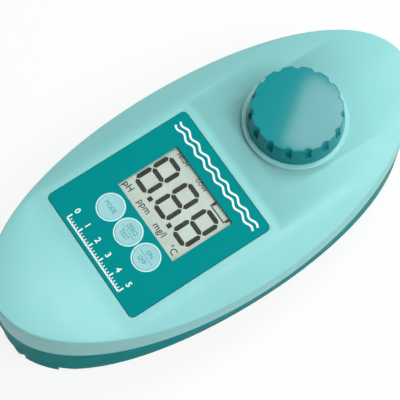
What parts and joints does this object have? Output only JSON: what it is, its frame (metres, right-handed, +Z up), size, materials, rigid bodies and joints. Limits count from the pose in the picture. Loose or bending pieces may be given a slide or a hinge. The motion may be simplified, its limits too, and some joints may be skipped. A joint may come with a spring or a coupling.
{
  "type": "pool water tester",
  "caption": "Electronic pool water tester: oval arched body with display, press keys and a screw-capped sample chamber.",
  "frame": {"origin": "on the table plane, under the middle of the body", "axes": "+X along the body towards the sample chamber, +Z up through the display"},
  "size_m": [0.18, 0.0868, 0.0571],
  "materials": {
    "pale_shell": "fine satin moulding",
    "teal_shell": "satin moulding",
    "teal_film": "printed film, satin",
    "teal_cap": "glossy moulding",
    "key_plastic": "satin",
    "bezel_white": "satin",
    "clear_window": "polished clear plastic",
    "display_glass": "grey green reflective display",
    "black_plastic": "matt black",
    "grey_rubber": "soft matt",
    "seal_rubber": "nitrile, matt",
    "liner": "white foam liner",
    "board_green": "solder mask, satin",
    "chip_black": "moulded epoxy",
    "clear_cup": "smooth grey moulding",
    "steel": "plated steel",
    "lamp_clear": "clear epoxy",
    "filter_green": "coloured glass",
    "cell_jacket": "printed jacket",
    "nickel": "nickel plate",
    "wire_jacket": "insulated wire"
  },
  "bodies": {
    "housing": {"upper_shell": "pale_shell", "lower_shell": "teal_shell", "perimeter_seal": "seal_rubber", "shell_screws": "steel", "label_overlay": "teal_film", "display_window": "clear_window", "lcd_glass": "display_glass", "display_frame": "black_plastic", "contact_strips": "grey_rubber", "circuit_board": "board_green", "board_components": "chip_black", "board_screws": "steel", "key_switches": "black_plastic", "key_bezels": "bezel_white", "sample_chamber": "clear_cup", "chamber_seal": "seal_rubber", "chamber_screws": "steel", "optical_windows": "clear_window", "led_holder": "black_plastic", "led_emitter": "lamp_clear", "detector_holder": "black_plastic", "optical_filter": "filter_green", "photodiode": "lamp_clear", "holder_screws": "steel", "battery_cover": "pale_shell", "battery_cover_seal": "seal_rubber", "battery_cover_screws": "steel", "battery_cells": "cell_jacket", "battery_contacts": "nickel", "battery_springs": "nickel", "battery_cradle": "black_plastic", "battery_leads": "wire_jacket"},
    "cap_liner": {"cap_seal": "liner"},
    "cap": {"chamber_cap": "teal_cap"},
    "key_mode": {"key_mode": "key_plastic", "key_mode_seal": "seal_rubber"},
    "key_zero_test": {"key_zero_test": "key_plastic", "key_zero_test_seal": "seal_rubber"},
    "key_on_off": {"key_on_off": "key_plastic", "key_on_off_seal": "seal_rubber"}
  },
  "joints": [
    {"name": "cap_lift", "type": "slide", "parent": "housing", "child": "cap_liner", "axis": [0, 0, 1], "range_m": [0, 0.018]},
    {"name": "cap_turn", "type": "hinge", "parent": "cap_liner", "child": "cap", "pos_m": [0.0403, 0, 0.05], "axis": [0, 0, 1], "range_deg": [0, 1080]},
    {"name": "key_mode_press", "type": "slide", "parent": "housing", "child": "key_mode", "axis": [0, 0, -1], "range_m": [0, 0.0006], "stiffness_N_per_m": 800},
    {"name": "key_zero_test_press", "type": "slide", "parent": "housing", "child": "key_zero_test", "axis": [0, 0, -1], "range_m": [0, 0.0006], "stiffness_N_per_m": 800},
    {"name": "key_on_off_press", "type": "slide", "parent": "housing", "child": "key_on_off", "axis": [0, 0, -1], "range_m": [0, 0.0006], "stiffness_N_per_m": 800}
  ],
  "couplings": [
    {"joint": "cap_turn", "follows": "cap_lift", "rad_per_m": 1047.2}
  ]
}
